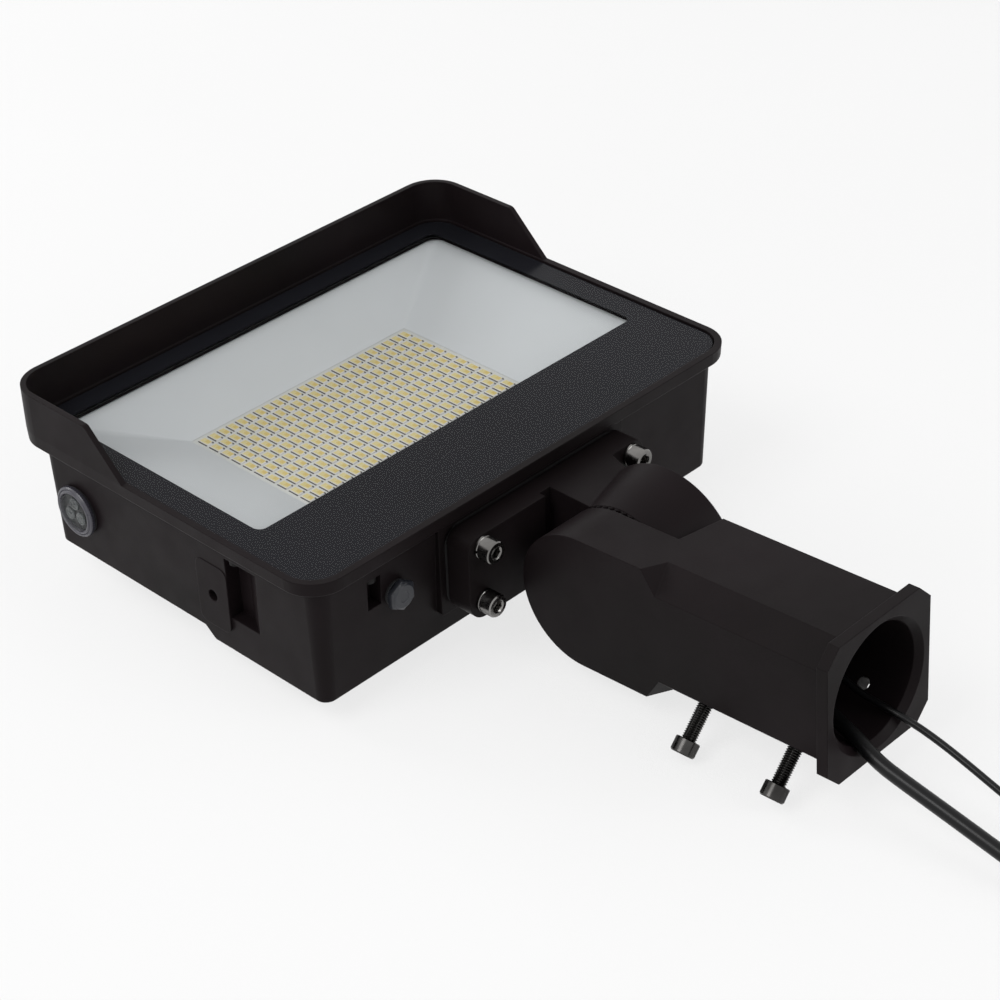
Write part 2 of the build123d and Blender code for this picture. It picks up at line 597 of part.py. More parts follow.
# Bracket: plate on the housing, neck, and the cone-shaped half of the knuckle
plate_back = pad_y - bracket_gasket_t
hollow_x0, hollow_x1, hollow_depth = -15.0, 30.0, 9.0
with BuildPart() as bracket:
    with BuildSketch(wall_plane(plate_back)) as plate:
        with Locations((0, -(bracket_top + bracket_foot) / 2)):
            Rectangle(2 * bracket_half, bracket_foot - bracket_top)
        fillet(plate.vertices().group_by(Axis.Y)[0], plate_foot_r)
        fillet(plate.vertices().group_by(Axis.Y)[-1], plate_top_r)
    extrude(amount=plate_back - bracket_y)
    with BuildSketch(Plane((0, 0, rim_z - bracket_foot))):
        with BuildLine():
            Polyline((boss_x0, face_y + bracket_y + 1), (boss_x1 + 6, face_y + bracket_y + 1),
                     (boss_x1, pivot_y + 30), (boss_x1, pivot_y), (boss_x0, pivot_y), close=True)
        make_face()
    extrude(amount=bracket_foot - bracket_top)
    with BuildSketch(Plane((0, pivot_y, pivot_z), x_dir=(1, 0, 0), z_dir=(0, -1, 0))) as cone_half:
        with BuildLine():
            Polyline((seam_x, 0), (seam_x, ear_r), (boss_x1 - 2, ear_r_wide), (boss_x1, ear_r_wide - 2),
                     (boss_x1, 0), close=True)
        make_face()
    revolve(axis=Axis(pivot, (1, 0, 0)))
    # Nothing of the neck reaches over the seam
    with BuildSketch(arm_side(seam_x + tooth_h + tooth_play)):
        Rectangle(2 * ear_r + 22, 2 * ear_r + 30)
    extrude(amount=8, mode=Mode.SUBTRACT)
    # Way for the cables: a hollow behind the plate and a slot through neck and knuckle
    with BuildSketch(wall_plane(plate_back)):
        with Locations(((hollow_x0 + hollow_x1) / 2, cable_z)):
            RectangleRounded(hollow_x1 - hollow_x0, 32, 5)
    extrude(amount=hollow_depth, mode=Mode.SUBTRACT)
    with BuildSketch(wall_plane(plate_back)):
        with Locations(((cable_way_x0 + cable_way_x1) / 2, -pivot_drop)):
            RectangleRounded(cable_way_x1 - cable_way_x0, 2 * cable_way_half, 6)
    extrude(amount=120, mode=Mode.SUBTRACT)
    # Screw holes in the plate
    with BuildSketch(wall_plane(plate_back)):
        with Locations(*bracket_screws_at):
            Circle(m8_r + 0.5)
    extrude(amount=30, mode=Mode.SUBTRACT)
    # Hole and counterbore for the pivot bolt
    with BuildSketch(Plane(pivot, x_dir=(0, 1, 0), z_dir=(1, 0, 0))):
        Circle(bolt_r + bolt_play)
    extrude(amount=60, both=True, mode=Mode.SUBTRACT)
    with BuildSketch(Plane(pivot + Vector(boss_x1, 0, 0), x_dir=(0, 1, 0), z_dir=(1, 0, 0))):
        Circle(15)
    extrude(amount=-6, mode=Mode.SUBTRACT)
    add(ring_of_teeth(seam_x + tooth_h + tooth_play, -1))
bracket.part.label = "bracket"
export_step(bracket.part, "parts/bracket.step")

# Gasket between the bracket's plate and the housing's pad
with BuildPart() as bracket_gasket:
    with BuildSketch(wall_plane(pad_y)):
        with Locations((0, -(bracket_top + bracket_foot) / 2)):
            RectangleRounded(2 * bracket_half - 1, bracket_foot - bracket_top - 1, plate_foot_r)
        with Locations(*bracket_screws_at):
            Circle(m8_r + 0.5, mode=Mode.SUBTRACT)
        with Locations(((hollow_x0 + hollow_x1) / 2, cable_z)):
            RectangleRounded(hollow_x1 - hollow_x0, 32, 5, mode=Mode.SUBTRACT)
    extrude(amount=bracket_gasket_t)
bracket_gasket.part.label = "bracket_gasket"
export_step(bracket_gasket.part, "parts/bracket_gasket.step")

# Four M8 socket screws through the plate into the housing, each on a spring washer
washer_t, washer_r = 2.0, 6.4
bracket_screw_len = 35.0
washer_plane = wall_plane(bracket_y)
with BuildPart() as bracket_washers:
    with BuildSketch(washer_plane):
        with Locations(*bracket_screws_at):
            Circle(washer_r)
        with Locations(*bracket_screws_at):
            Circle(m8_r, mode=Mode.SUBTRACT)
    extrude(amount=washer_t)
bracket_washers.part.label = "bracket_washers"
export_step(bracket_washers.part, "parts/bracket_washers.step")

with BuildPart() as bracket_screws:
    head_plane = wall_plane(bracket_y - washer_t)
    with BuildSketch(head_plane):
        with Locations(*bracket_screws_at):
            Circle(m8_head_r)
    extrude(amount=m8_head_h)
    with BuildSketch(head_plane.offset(m8_head_h)):
        with Locations(*bracket_screws_at):
            RegularPolygon(m8_key / sqrt(3), 6)
    extrude(amount=-4, mode=Mode.SUBTRACT)
    with BuildSketch(head_plane):
        with Locations(*bracket_screws_at):
            Circle(m8_r)
    extrude(amount=-bracket_screw_len)
bracket_screws.part.label = "bracket_screws"
export_step(bracket_screws.part, "parts/bracket_screws.step")

# Slipfitter arm: round ear, box body with chamfered corners, flanged mouth and round bore


def corner_cut(sign_x, sign_t):
    """Triangular bar that takes off one long corner, starting on a slanted facet."""
    tip = Vector(arm_x, facet_tip_s, arm_t)
    edge = Vector(chamfer_x, facet_edge_s, arm_t)
    foot = Vector(arm_x, facet_foot_s, chamfer_t)
    middle = (edge + foot) * 0.5
    far_edge, far_foot = edge + (edge - foot) * 0.5, foot + (foot - edge) * 0.5
    far_tip = tip + (tip - middle) * 1.2
    corners = [arm_point(sign_x * p.X, p.Y, sign_t * p.Z) for p in (far_tip, far_edge, far_foot)]
    facet = Face(Wire.make_polygon(corners, close=True))
    early = facet_early if sign_x > 0 else 0
    return Solid.extrude(facet.translate(along * -early), along * (flange_s - facet_tip_s + 20 + early))


def clamp_plane(s, side, r):
    """Plane across a clamp screw's axis: 45 degrees down, to one side, r from the bore's axis."""
    out = Vector(side, 0, 0) * sin(radians(45)) - across * cos(radians(45))
    return Plane(arm_point(0, s, 0) + out * r, x_dir=along, z_dir=out)


grommet_x, grommet_r = 12.0, 11.0
body_s0 = 30.0
with BuildPart() as slipfitter_arm:
    with BuildSketch(arm_at(body_s0)):
        Rectangle(2 * arm_x, 2 * arm_t)
    extrude(amount=flange_s - body_s0)
    for side_x_sign in (-1, 1):
        for side_t_sign in (-1, 1):
            add(corner_cut(side_x_sign, side_t_sign), mode=Mode.SUBTRACT)
    # Right half ends at a slanted wall, so the bracket's half of the knuckle turns in front of it
    with BuildSketch(Plane(pivot, x_dir=(1, 0, 0), z_dir=across * -1)):
        with BuildLine():
            Polyline((seam_x - tooth_h, 0), (seam_x - tooth_h, wall_s0 - 0.3), (seam_x, wall_s0),
                     (arm_x + 5, wall_s1 + 1), (arm_x + 5, 0), close=True)
        make_face()
    extrude(amount=arm_t + 5, both=True, mode=Mode.SUBTRACT)
    with BuildSketch(arm_side(seam_x - tooth_h)):
        Circle(ear_r)
        with Locations((body_s0 / 2, 0)):
            Rectangle(body_s0, 2 * arm_t)
    extrude(amount=arm_x + seam_x - tooth_h)
    # Flanged mouth
    with BuildSketch(arm_at(flange_s)) as mouth:
        Rectangle(2 * mouth_x, 2 * mouth_t)
        chamfer(mouth.vertices(), mouth_chamfer)
    extrude(amount=reach - flange_s)
    # Bore with a wider lead-in
    with BuildSketch(arm_at(bore_end_s)):
        Circle(bore_r)
    extrude(amount=reach - bore_end_s, mode=Mode.SUBTRACT)
    with BuildSketch(arm_at(reach - lead_h)):
        Circle(bore_r)
    with BuildSketch(arm_at(reach)):
        Circle(lead_r)
    loft(mode=Mode.SUBTRACT)
    # Hole for the cord grommet
    with BuildSketch(arm_at(body_s0)):
        with Locations((grommet_x, 0)):
            Circle(grommet_r)
    extrude(amount=40, mode=Mode.SUBTRACT)
    # Threaded holes: two hold the clamp screws, two on the other side are spare
    for s in clamp_s:
        for side, radius in ((-1, m8_r + thread_play), (1, m8_tap)):
            with BuildSketch(clamp_plane(s, side, 20)):
                Circle(radius)
            extrude(amount=40, mode=Mode.SUBTRACT)
    # Blind hole for the pivot bolt, and the teeth
    with BuildSketch(Plane(pivot + Vector(seam_x, 0, 0), x_dir=(0, 1, 0), z_dir=(-1, 0, 0))):
        Circle(bolt_r)
    extrude(amount=24, mode=Mode.SUBTRACT)
    add(ring_of_teeth(seam_x - tooth_h, 1))
slipfitter_arm.part.label = "slipfitter_arm"
export_step(slipfitter_arm.part, "parts/slipfitter_arm.step")

# Pivot bolt in the arm's ear, its head in the bracket's counterbore, with two washers
bolt_face_x = boss_x1 - 6
bolt_washer_t, bolt_washer_r, lock_t, washer_gap = 2.0, 12.0, 2.5, 0.15


def bolt_plane(x):
    return Plane(pivot + Vector(x, 0, 0), x_dir=(0, 1, 0), z_dir=(1, 0, 0))


with BuildPart() as pivot_washer:
    with BuildSketch(bolt_plane(bolt_face_x + washer_gap)):
        Circle(bolt_washer_r)
        Circle(bolt_r, mode=Mode.SUBTRACT)
    extrude(amount=bolt_washer_t)
pivot_washer.part.label = "pivot_washer"
export_step(pivot_washer.part, "parts/pivot_washer.step")

lock_x = bolt_face_x + washer_gap + bolt_washer_t
with BuildPart() as pivot_lock_washer:
    with BuildSketch(bolt_plane(lock_x)):
        Circle(bolt_r + 4)
        Circle(bolt_r, mode=Mode.SUBTRACT)
        with Locations((0, bolt_r + 2)):
            Rectangle(1.2, 6, rotation=20, mode=Mode.SUBTRACT)
    extrude(amount=lock_t)
pivot_lock_washer.part.label = "pivot_lock_washer"
export_step(pivot_lock_washer.part, "parts/pivot_lock_washer.step")

bolt_seat_x = lock_x + lock_t
with BuildPart() as pivot_bolt:
    with BuildSketch(bolt_plane(bolt_seat_x)):
        RegularPolygon(bolt_head_af / sqrt(3), 6)
    extrude(amount=bolt_head_h)
    with BuildSketch(bolt_plane(bolt_seat_x)):
        Circle(bolt_r)
    extrude(amount=-(bolt_seat_x - seam_x + 22))
pivot_bolt.part.label = "pivot_bolt"
export_step(pivot_bolt.part, "parts/pivot_bolt.step")

# Clamp screws that close on the pole tenon
for name, s in zip(("clamp_screw_inner", "clamp_screw_outer"), clamp_s):
    screw = socket_screw(clamp_plane(s, -1, clamp_seat), m8_head_r, m8_head_h, m8_r, clamp_len, m8_key)
    screw.label = name
    export_step(screw, f"parts/{name}.step")

# Rubber grommet in the bore's end wall, with a nozzle for each cord
power_x, dimming_x = 7.0, 18.0
nozzle_len = 7.0
with BuildPart() as cord_grommet:
    with BuildSketch(arm_at(bore_end_s - 8)):
        with Locations((grommet_x, 0)):
            Circle(grommet_r)
    extrude(amount=8)
    with BuildSketch(arm_at(bore_end_s)):
        with Locations((grommet_x, 0)):
            Circle(grommet_r + 2)
    extrude(amount=2.5)
    for x, d in ((power_x, power_d), (dimming_x, dimming_d)):
        with BuildSketch(arm_at(bore_end_s + 2.5)):
            with Locations((x, 0)):
                Circle(d / 2 + 1.5)
        extrude(amount=nozzle_len, taper=4)
cord_grommet.part.label = "cord_grommet"
export_step(cord_grommet.part, "parts/cord_grommet.step")

# Cords: the free stretches lie on hand-chosen points, the rest is put away in flat coils
power_points = [
    (7.0, 90.9, -5.0), (7.0, 76.0, -4.2), (5.4, 61.5, -7.9), (2.0, 48.0, -15.0),
    (-3.0, 34.5, -21.0), (-8.2, 20.0, -24.0), (-11.2, 5.0, -25.6), (-15.3, -12.5, -30.4),
    (-15.4, -31.0, -34.2), (-15.1, -51.0, -38.4), (-14.8, -72.0, -43.0), (-14.5, -94.0, -47.8),
    (-14.2, -117.0, -52.0), (-14.5, -141.0, -54.9), (-15.1, -163.0, -56.0), (-16.2, -184.0, -56.1),
    (-16.6, -204.0, -56.1), (-16.6, -222.0, -56.1),
]
dimming_points = [
    (18.0, 90.9, -5.0), (18.0, 76.0, -4.2), (17.6, 61.5, -7.8), (16.4, 47.5, -14.0),
    (15.0, 33.5, -20.2), (15.2, 19.0, -24.3), (15.9, 4.5, -25.6), (18.6, -10.5, -29.4),
    (19.5, -26.0, -33.6), (19.2, -42.0, -37.9), (18.8, -58.0, -42.6), (18.4, -74.0, -47.1),
    (18.2, -90.0, -51.2), (18.0, -106.0, -54.8), (17.6, -122.0, -57.3), (17.5, -137.0, -58.1),
    (17.5, -149.0, -58.1),
]
lead_len, lead_bare = 22.0, 8.0


def fillet_radii(points):
    """Radius of each bend, as large as its two runs allow."""
    radii = []
    for before, here, after in zip(points, points[1:], points[2:]):
        turn = radians((here - before).get_angle(after - here))
        radii.append(0.45 * min((here - before).length, (after - here).length) / tan(turn / 2))
    return radii


def free_tube(name, points, diameter):
    """Tube along the free stretch of a cord."""
    points = [Vector(*p) for p in points]
    radii = fillet_radii(points)
    with BuildPart() as tube:
        with BuildLine() as route:
            FilletPolyline(*points, radius=radii)
        with BuildSketch(Plane(points[0], z_dir=points[1] - points[0])):
            Circle(diameter / 2)
        sweep()
    length = sum(edge.length for edge in route.edges())
    print(name, "bend radii", [round(r) for r in radii])
    print(name, "length", round(length, 1), "volume ratio",
          round(tube.part.volume / (length * pi * diameter ** 2 / 4), 4))
    return tube, length


def coil_point(phi, centre, radius, pitch, layer, reversals, turns):
    """Point of a flat coil after phi turns: in and out at a steady rate, a layer up at each reversal."""
    span = turns / (reversals + 1)
    stage = min(int(phi / span), reversals)
    part = phi / span - stage
    inward = part if stage % 2 == 0 else 1 - part
    r = radius - pitch * span * inward
    height = 0.0
    for i in range(1, reversals + 1):
        climb = min(max((phi - i * span) / 0.5 + 0.5, 0), 1)
        height += layer * (1 - cos(pi * climb)) / 2
    angle = pi + 2 * pi * phi
    return centre + Vector(r * cos(angle), r * sin(angle), height)


def coiled_tube(name, start, diameter, radius, reversals, turns):
    """One unbroken tube: a short straight end, the turns as pairs of tangent arcs, a short straight end."""
    pitch = layer = diameter + 0.7
    entry = start - Vector(0, diameter, 0)
    centre = entry + Vector(radius, 0, 0)
    step = 0.25
    count = round(turns / step)

    def at(phi):
        return coil_point(phi, centre, radius, pitch, layer, reversals, turns)

    points = [at(i * turns / count) for i in range(count + 1)]
    tangents = []
    for i in range(count + 1):
        low, high = max(i * turns / count - 1e-3, 0), min(i * turns / count + 1e-3, turns)
        tangents.append((at(high) - at(low)).normalized())
    tangents[0] = Vector(0, -1, 0)
    edges = [Edge.make_line(start, entry)]
    for p, q, a, b in zip(points, points[1:], tangents, tangents[1:]):
        chord = q - p
        square = 2 * a.dot(b) - 2
        linear = -2 * chord.dot(a + b)
        constant = chord.dot(chord)
        knee_run = (-linear - sqrt(linear ** 2 - 4 * square * constant)) / (2 * square) if abs(square) > 1e-9 else \
            -constant / linear
        knee = ((p + a * knee_run) + (q - b * knee_run)) * 0.5
        middle = ((q - b * knee_run) - (p + a * knee_run)).normalized()
        edges.append(Edge.make_tangent_arc(p, a, knee))
        edges.append(Edge.make_tangent_arc(knee, middle, q))
    end = points[-1] + tangents[-1] * diameter
    edges.append(Edge.make_line(points[-1], end))
    with BuildPart() as coil:
        with BuildLine() as route:
            add(edges)
        with BuildSketch(Plane(start, z_dir=(0, -1, 0))):
            Circle(diameter / 2)
        sweep()
    length = sum(edge.length for edge in route.edges())
    fine = [at(i * turns / (count * 6)) for i in range(count * 6 + 1)]
    apart = count * 6 * 0.6 / turns
    gap = min((a - b).length for i, a in enumerate(fine) for j, b in enumerate(fine) if j - i > apart) - diameter
    print(name, "length", round(length, 1), "volume ratio",
          round(coil.part.volume / (length * pi * diameter ** 2 / 4), 4), "least gap", round(gap, 2))
    return coil, length, end, tangents[-1]


def stripped_leads(end, way, spacing, count, diameter):
    """Insulated leads with bare ends that come out of the cord's jacket."""
    leads = []
    base = Plane(end, z_dir=way)
    spots = [Vector(spacing * cos(2 * pi * i / count), spacing * sin(2 * pi * i / count), 0) for i in range(count)]
    for spot in spots:
        with BuildPart() as lead:
            with BuildSketch(base):
                with Locations(spot):
                    Circle(diameter / 2)
            extrude(amount=lead_len)
            with BuildSketch(base.offset(lead_len)):
                with Locations(spot):
                    Circle(diameter / 4)
            extrude(amount=lead_bare)
        leads.append(lead.part)
    return leads


power_cord, power_free = free_tube("power cord", power_points, power_d)
power_cord.part.label = "power_cord"
export_step(power_cord.part, "parts/power_cord.step")

power_coil, power_wound, power_end, power_way = coiled_tube(
    "power coil", Vector(*power_points[-1]), power_d, 47.0, 1, 2.125)
power_coil.part.label = "power_cord_coil"
export_step(power_coil.part, "parts/power_cord_coil.step")

with BuildPart() as power_leads:
    add(stripped_leads(power_end, power_way, 1.75, 3, 2.8))
power_leads.part.label = "power_leads"
export_step(power_leads.part, "parts/power_leads.step")

dimming_cord, dimming_free = free_tube("dimming cord", dimming_points, dimming_d)
dimming_cord.part.label = "dimming_cord"
export_step(dimming_cord.part, "parts/dimming_cord.step")

dimming_coil, dimming_wound, dimming_end, dimming_way = coiled_tube(
    "dimming coil", Vector(*dimming_points[-1]), dimming_d, 22.5, 3, 5.25)
dimming_coil.part.label = "dimming_cord_coil"
export_step(dimming_coil.part, "parts/dimming_cord_coil.step")

with BuildPart() as dimming_leads:
    add(stripped_leads(dimming_end, dimming_way, 0.9, 2, 1.4))
dimming_leads.part.label = "dimming_leads"
export_step(dimming_leads.part, "parts/dimming_leads.step")

print("power cord", round(power_free + power_wound), "mm in all, dimming cord",
      round(dimming_free + dimming_wound), "mm in all")
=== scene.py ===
import json
import math

import bmesh
import bpy
from mathutils import Matrix, Vector


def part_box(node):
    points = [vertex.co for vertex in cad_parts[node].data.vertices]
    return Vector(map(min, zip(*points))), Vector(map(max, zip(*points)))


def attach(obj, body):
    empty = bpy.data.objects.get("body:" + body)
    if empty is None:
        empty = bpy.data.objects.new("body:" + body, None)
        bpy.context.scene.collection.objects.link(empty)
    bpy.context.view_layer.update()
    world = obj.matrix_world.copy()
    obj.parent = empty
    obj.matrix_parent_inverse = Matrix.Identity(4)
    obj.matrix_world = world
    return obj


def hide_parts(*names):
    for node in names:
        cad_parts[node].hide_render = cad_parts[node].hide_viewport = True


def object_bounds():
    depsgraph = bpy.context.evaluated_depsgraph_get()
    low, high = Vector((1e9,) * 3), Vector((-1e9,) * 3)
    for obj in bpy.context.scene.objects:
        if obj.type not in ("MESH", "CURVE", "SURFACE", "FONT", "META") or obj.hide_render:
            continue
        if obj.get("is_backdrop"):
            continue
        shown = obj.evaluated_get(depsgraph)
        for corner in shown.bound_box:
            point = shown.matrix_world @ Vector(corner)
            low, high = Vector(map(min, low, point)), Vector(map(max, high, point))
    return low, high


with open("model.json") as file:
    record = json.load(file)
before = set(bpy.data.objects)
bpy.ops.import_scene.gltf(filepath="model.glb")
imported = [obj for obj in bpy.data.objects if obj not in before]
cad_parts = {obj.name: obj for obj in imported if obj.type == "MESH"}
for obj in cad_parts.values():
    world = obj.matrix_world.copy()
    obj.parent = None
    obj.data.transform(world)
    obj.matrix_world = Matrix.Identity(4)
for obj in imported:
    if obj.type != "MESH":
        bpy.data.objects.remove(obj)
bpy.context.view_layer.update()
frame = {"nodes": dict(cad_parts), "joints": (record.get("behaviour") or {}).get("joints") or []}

bpy.context.scene.view_settings.view_transform = "Standard"
MM = 0.001

# Places in metres: the pivot, the middle of the face's rim, and the floor just under the cords
tilt_joint = [j for j in frame["joints"] if j["name"] == "tilt"][0]
PIVOT = Vector(tilt_joint["pos_m"])
FACE_Y = PIVOT.y + 0.179
RIM_Z = PIVOT.z + 0.0444
FLOOR_Z = -0.0602

# Camera: bearing, downward angle and roll in degrees, place in metres, and its lens
CAMERA_ANGLES = (45.22, 33.97, -1.95)
CAMERA_PLACE = (-0.79451, -0.53807, 0.74991)
FOCAL_PX, IMAGE_PX, SENSOR_MM = 2519.9, 1000, 36

# Light on the object from the white world, and the floor: how see-through, and half its width
WORLD_LEVEL = 0.45
FLOOR_CLEAR = 0.76
FLOOR_HALF = 12.0


def srgb(text):
    """Linear colour of a hexadecimal sRGB one."""
    parts = [int(text[i:i + 2], 16) / 255 for i in (0, 2, 4)]
    return tuple(c / 12.92 if c <= 0.04045 else ((c + 0.055) / 1.055) ** 2.4 for c in parts) + (1.0,)


# Camera

def add_camera():
    azimuth, elevation, roll = (math.radians(a) for a in CAMERA_ANGLES)
    forward = Vector((math.sin(azimuth) * math.cos(elevation), math.cos(azimuth) * math.cos(elevation),
                      -math.sin(elevation)))
    level = Vector((math.cos(azimuth), -math.sin(azimuth), 0))
    upright = level.cross(forward)
    right = level * math.cos(roll) + upright * math.sin(roll)
    up = upright * math.cos(roll) - level * math.sin(roll)
    data = bpy.data.cameras.new("camera")
    data.sensor_width = SENSOR_MM
    data.lens = FOCAL_PX / IMAGE_PX * SENSOR_MM
    data.clip_start, data.clip_end = 0.05, 60
    camera = bpy.data.objects.new("camera", data)
    rows = [(right[i], up[i], -forward[i], CAMERA_PLACE[i]) for i in range(3)]
    camera.matrix_world = Matrix(rows + [(0, 0, 0, 1)])
    bpy.context.scene.collection.objects.link(camera)
    bpy.context.scene.camera = camera


add_camera()


# Finishes

NOISE_SPAN = (0.3, 0.7)


class Nodes:
    """A material's node tree, with short calls for what the finishes share."""

    def __init__(self, name):
        self.material = bpy.data.materials.new(name)
        self.material.use_nodes = True
        self.tree = self.material.node_tree
        self.shader = self.tree.nodes["Principled BSDF"]
        self.output = self.tree.nodes["Material Output"]
        self.place = self.tree.nodes.new("ShaderNodeTexCoord").outputs["Object"]

    def node(self, kind, **values):
        made = self.tree.nodes.new("ShaderNode" + kind)
        for key, value in values.items():
            setattr(made, key, value)
        return made

    def link(self, a, b):
        self.tree.links.new(a, b)

    def noise(self, scale, detail=2.0):
        texture = self.node("TexNoise")
        texture.inputs["Scale"].default_value = scale
        texture.inputs["Detail"].default_value = detail
        self.link(self.place, texture.inputs["Vector"])
        return texture.outputs["Fac"]

    def ramp(self, factor, dark, light):
        """Colour between two, as the factor goes over the span that noise mostly fills."""
        ramp = self.node("ValToRGB")
        for element, place, colour in zip(ramp.color_ramp.elements, NOISE_SPAN, (dark, light)):
            element.position, element.color = place, colour
        self.link(factor, ramp.inputs["Fac"])
        return ramp.outputs["Color"]

    def spread(self, factor, low, high):
        """Number between two, over the same span."""
        spread = self.node("MapRange")
        for name, value in zip(("From Min", "From Max", "To Min", "To Max"), (*NOISE_SPAN, low, high)):
            spread.inputs[name].default_value = value
        self.link(factor, spread.inputs["Value"])
        return spread.outputs["Result"]

    def bump(self, height, depth, edge=0.0):
        """Fine grain of a depth in metres; an edge radius in metres rounds the shading at edges."""
        bump = self.node("Bump")
        if edge:
            bevel = self.node("Bevel", samples=6)
            bevel.inputs["Radius"].default_value = edge
            self.link(bevel.outputs["Normal"], bump.inputs["Normal"])
        bump.inputs["Distance"].default_value = depth
        self.link(height, bump.inputs["Height"])
        self.link(bump.outputs["Normal"], self.shader.inputs["Normal"])

    def set(self, **values):
        for key, value in values.items():
            self.shader.inputs[key.replace("_", " ")].default_value = value


def finish(name, dark, light, rough, grain, depth, metal=0.0, cloud=9.0, edge=0.0, **values):
    """A finish with cloudy colour between dark and light, uneven gloss and a fine grain."""
    m = Nodes(name)
    m.link(m.ramp(m.noise(cloud, 4.0), srgb(dark), srgb(light)), m.shader.inputs["Base Color"])
    m.link(m.spread(m.noise(cloud * 6, 3.0), rough[0], rough[1]), m.shader.inputs["Roughness"])
    m.bump(m.noise(grain), depth, edge)
    m.set(Metallic=metal, **values)
    return m.material


powder = finish("bronze_powder", "131010", "1c1618", (0.36, 0.48), 1400, 0.00005, edge=0.0008,
                Specular_IOR_Level=0.06)
rubber = finish("black_rubber", "141414", "1c1c1d", (0.55, 0.75), 900, 0.00004)
jacket = finish("cord_jacket", "070708", "0d0d0e", (0.24, 0.36), 600, 0.00003, Specular_IOR_Level=0.25)
chrome = finish("bright_screws", "5f5e5c", "8a8886", (0.14, 0.26), 1200, 0.00001, metal=1.0, cloud=60)
sunk = finish("sunk_screws", "121111", "1a1919", (0.45, 0.6), 1200, 0.00002, cloud=60,
              Specular_IOR_Level=0.15)
zinc = finish("dark_screws", "343332", "4a4948", (0.18, 0.3), 1200, 0.00002, metal=1.0, cloud=60)
white = finish("white_tray", "cdd1d3", "dadee0", (0.5, 0.62), 500, 0.00002, cloud=5)
board = finish("white_board", "d4d6d2", "dfe0dc", (0.35, 0.45), 700, 0.00001, cloud=12)
grey = finish("grey_plastic", "1d1f24", "282a31", (0.32, 0.45), 800, 0.00003)
ring_grey = finish("sensor_ring", "34333a", "45444d", (0.22, 0.36), 700, 0.00003)
cell_dark = finish("sensor_base", "141517", "1e1f22", (0.3, 0.4), 800, 0.00002)
cell_chip = finish("sensor_cell", "55585a", "787c7c", (0.15, 0.3), 900, 0.00002, cloud=300)
phosphor = finish("phosphor", "ddd08f", "e6d9a4", (0.4, 0.5), 900, 0.00003, cloud=160)
phosphor_warm = finish("phosphor_warm", "d9bf70", "decb83", (0.4, 0.5), 900, 0.00003, cloud=160)
ceramic = finish("chip_body", "dcdad6", "e6e4e2", (0.35, 0.45), 900, 0.00002, cloud=90)
# Dark grey of the strip on the board along each chip's −X side and of the dot on its case
chip_dark_marks = finish("chip_mark", "4a4744", "65615c", (0.3, 0.5), 900, 0.00002, cloud=120)
lead_black = finish("lead_black", "101010", "1a1a1a", (0.3, 0.4), 900, 0.00002)
lead_white = finish("lead_white", "d5d5d2", "e4e4e1", (0.3, 0.4), 900, 0.00002)
lead_green = finish("lead_green", "1f6b39", "2a7d47", (0.3, 0.4), 900, 0.00002)
lead_purple = finish("lead_purple", "5a3270", "6b4182", (0.3, 0.4), 900, 0.00002)
lead_pink = finish("lead_pink", "c77f93", "d593a5", (0.3, 0.4), 900, 0.00002)
case = finish("driver_case", "8f9296", "a3a6aa", (0.3, 0.42), 700, 0.00003, metal=1.0)
copper = finish("copper", "a35f3a", "c17a50", (0.25, 0.35), 900, 0.00001, metal=1.0, cloud=60)
pad = finish("thermal_pad", "6d7074", "7b7e82", (0.7, 0.8), 500, 0.00003)
black = finish("black_plastic", "101011", "18181a", (0.45, 0.55), 900, 0.00003)


def clear_cover(name, alpha, rough):
    """Clear glass or plastic: mostly see-through, with smears in its gloss."""
    m = Nodes(name)
    tint = m.ramp(m.noise(30), (0.02, 0.025, 0.025, 1), (0.03, 0.036, 0.036, 1))
    m.link(tint, m.shader.inputs["Base Color"])
    m.link(m.spread(m.noise(40), rough, rough + 0.03), m.shader.inputs["Roughness"])
    m.bump(m.noise(50), 0.000002)
    m.set(Alpha=alpha)
    return m.material


glass = clear_cover("clear_glass", 0.05, 0.03)
lens_clear = clear_cover("clear_lens", 0.16, 0.06)
print_black = finish("glass_print", "18181c", "202025", (0.2, 0.26), 30, 0.000001, cloud=4,
                     Specular_IOR_Level=0.06)

node_finish = {
    "front_frame": powder, "housing": powder, "bracket": powder, "slipfitter_arm": powder,
    "glass_seal": rubber, "frame_gasket": rubber, "sensor_seal": rubber, "vent_seal": rubber,
    "bracket_gasket": rubber, "cord_grommet": rubber, "frame_screws": sunk, "board_screws": chrome,
    "driver_screws": chrome, "bracket_washers": chrome, "bracket_screws": chrome, "pivot_washer": chrome,
    "pivot_lock_washer": chrome, "pivot_bolt": chrome, "clamp_screw_inner": zinc,
    "clamp_screw_outer": zinc, "thermal_pad": pad, "led_board": board, "led_chips": board,
    "reflector": white, "driver_case": case, "sensor_body": grey, "sensor_lens": grey,
    "sensor_nut": grey, "vent_plug": grey, "cable_gland": black, "power_cord": jacket,
    "power_cord_coil": jacket, "power_leads": copper, "dimming_cord": jacket,
    "dimming_cord_coil": jacket, "dimming_leads": copper, "glass": glass,
}
for name, material in node_finish.items():
    mesh = frame["nodes"][name].data
    mesh.materials.clear()
    mesh.materials.append(material)


# Floor, world and lamps

def seen_directly(tree):
    """1 for what the camera, a reflection or a clear piece sees, and 0 for what lights the object."""
    path = tree.nodes.new("ShaderNodeLightPath")
    share = path.outputs["Is Camera Ray"]
    for ray in ("Is Glossy Ray", "Is Transmission Ray"):
        either = tree.nodes.new("ShaderNodeMath")
        either.operation = "MAXIMUM"
        tree.links.new(share, either.inputs[0])
        tree.links.new(path.outputs[ray], either.inputs[1])
        share = either.outputs[0]
    return share


